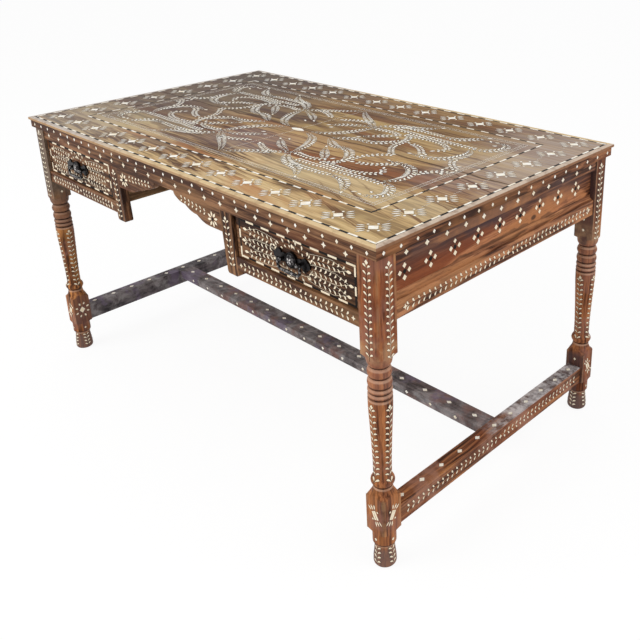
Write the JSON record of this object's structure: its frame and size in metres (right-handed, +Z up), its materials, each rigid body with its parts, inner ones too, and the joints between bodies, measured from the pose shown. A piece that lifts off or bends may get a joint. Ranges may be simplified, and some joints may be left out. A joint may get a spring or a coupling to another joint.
{
  "type": "writing desk",
  "caption": "Old bone-inlaid writing desk on turned legs, with drawers either side of a knee space and a stretcher frame near the floor.",
  "frame": {"origin": "middle of the desk's footprint, on the floor", "axes": "+X along the desk to the right as the sitter sees it, +Y to the back, +Z up; the drawers open towards -Y"},
  "size_m": [1.438, 0.845, 0.768],
  "materials": {
    "top_wood": "worn satin polish on golden brown boards, with red-brown streaks",
    "edge_wood": "pale worn edge, rounded by use",
    "front_wood": "greyish brown with a low sheen",
    "side_wood": "reddish brown with dark purple patches, low sheen",
    "leg_wood": "turned red-brown wood with a satin polish",
    "dark_wood": "nearly black old polish",
    "plain_wood": "bare, dry inside wood",
    "bone": null,
    "black_inlay": "black stained wood inlay, polished flush",
    "iron": "black iron with worn edges",
    "steel": "plain screws"
  },
  "bodies": {
    "desk_frame": {"top_board_1": "top_wood", "top_board_2": "top_wood", "top_board_3": "top_wood", "top_board_4": "top_wood", "top_edge_front": "edge_wood", "top_edge_back": "edge_wood", "top_edge_left": "edge_wood", "top_edge_right": "edge_wood", "leg_front_left": "leg_wood", "leg_front_right": "leg_wood", "leg_back_left": "leg_wood", "leg_back_right": "leg_wood", "front_top_rail": "front_wood", "drawer_rail_left": "front_wood", "drawer_rail_right": "front_wood", "inner_post_left": "front_wood", "inner_post_right": "front_wood", "bracket_left": "front_wood", "bracket_right": "front_wood", "end_top_rail_left": "side_wood", "end_top_rail_right": "side_wood", "end_panel_left": "side_wood", "end_panel_right": "side_wood", "end_low_rail_left": "side_wood", "end_low_rail_right": "side_wood", "back_top_rail": "side_wood", "back_panel": "side_wood", "back_low_rail": "side_wood", "end_stretcher_left": "dark_wood", "end_stretcher_right": "leg_wood", "long_stretcher": "dark_wood", "runner_left_outer": "plain_wood", "runner_left_inner": "plain_wood", "runner_right_inner": "plain_wood", "runner_right_outer": "plain_wood", "guides_left": "plain_wood", "guides_right": "plain_wood", "drawer_stops": "plain_wood", "kicker_left": "plain_wood", "kicker_right": "plain_wood", "cleat_left": "plain_wood", "cleat_right": "plain_wood", "top_screws": "steel"},
    "drawer_left": {"drawer_front_left": "front_wood", "drawer_outer_side_left": "plain_wood", "drawer_inner_side_left": "plain_wood", "drawer_back_left": "plain_wood", "drawer_bottom_left": "plain_wood", "handle_plate_left": "iron", "handle_posts_left": "iron"},
    "drawer_right": {"drawer_front_right": "front_wood", "drawer_outer_side_right": "plain_wood", "drawer_inner_side_right": "plain_wood", "drawer_back_right": "plain_wood", "drawer_bottom_right": "plain_wood", "handle_plate_right": "iron", "handle_posts_right": "iron"},
    "bail_left": {"bail_left": "iron"},
    "bail_right": {"bail_right": "iron"}
  },
  "joints": [
    {"name": "drawer_left_slide", "type": "slide", "parent": "desk_frame", "child": "drawer_left", "axis": [0, -1, 0], "range_m": [0, 0.3]},
    {"name": "drawer_right_slide", "type": "slide", "parent": "desk_frame", "child": "drawer_right", "axis": [0, -1, 0], "range_m": [0, 0.3]},
    {"name": "bail_left_hinge", "type": "hinge", "parent": "drawer_left", "child": "bail_left", "pos_m": [-0.4755, -0.4175, 0.658], "axis": [-1, 0, 0], "range_deg": [-8, 100]},
    {"name": "bail_right_hinge", "type": "hinge", "parent": "drawer_right", "child": "bail_right", "pos_m": [0.4555, -0.4175, 0.658], "axis": [-1, 0, 0], "range_deg": [-8, 100]}
  ]
}
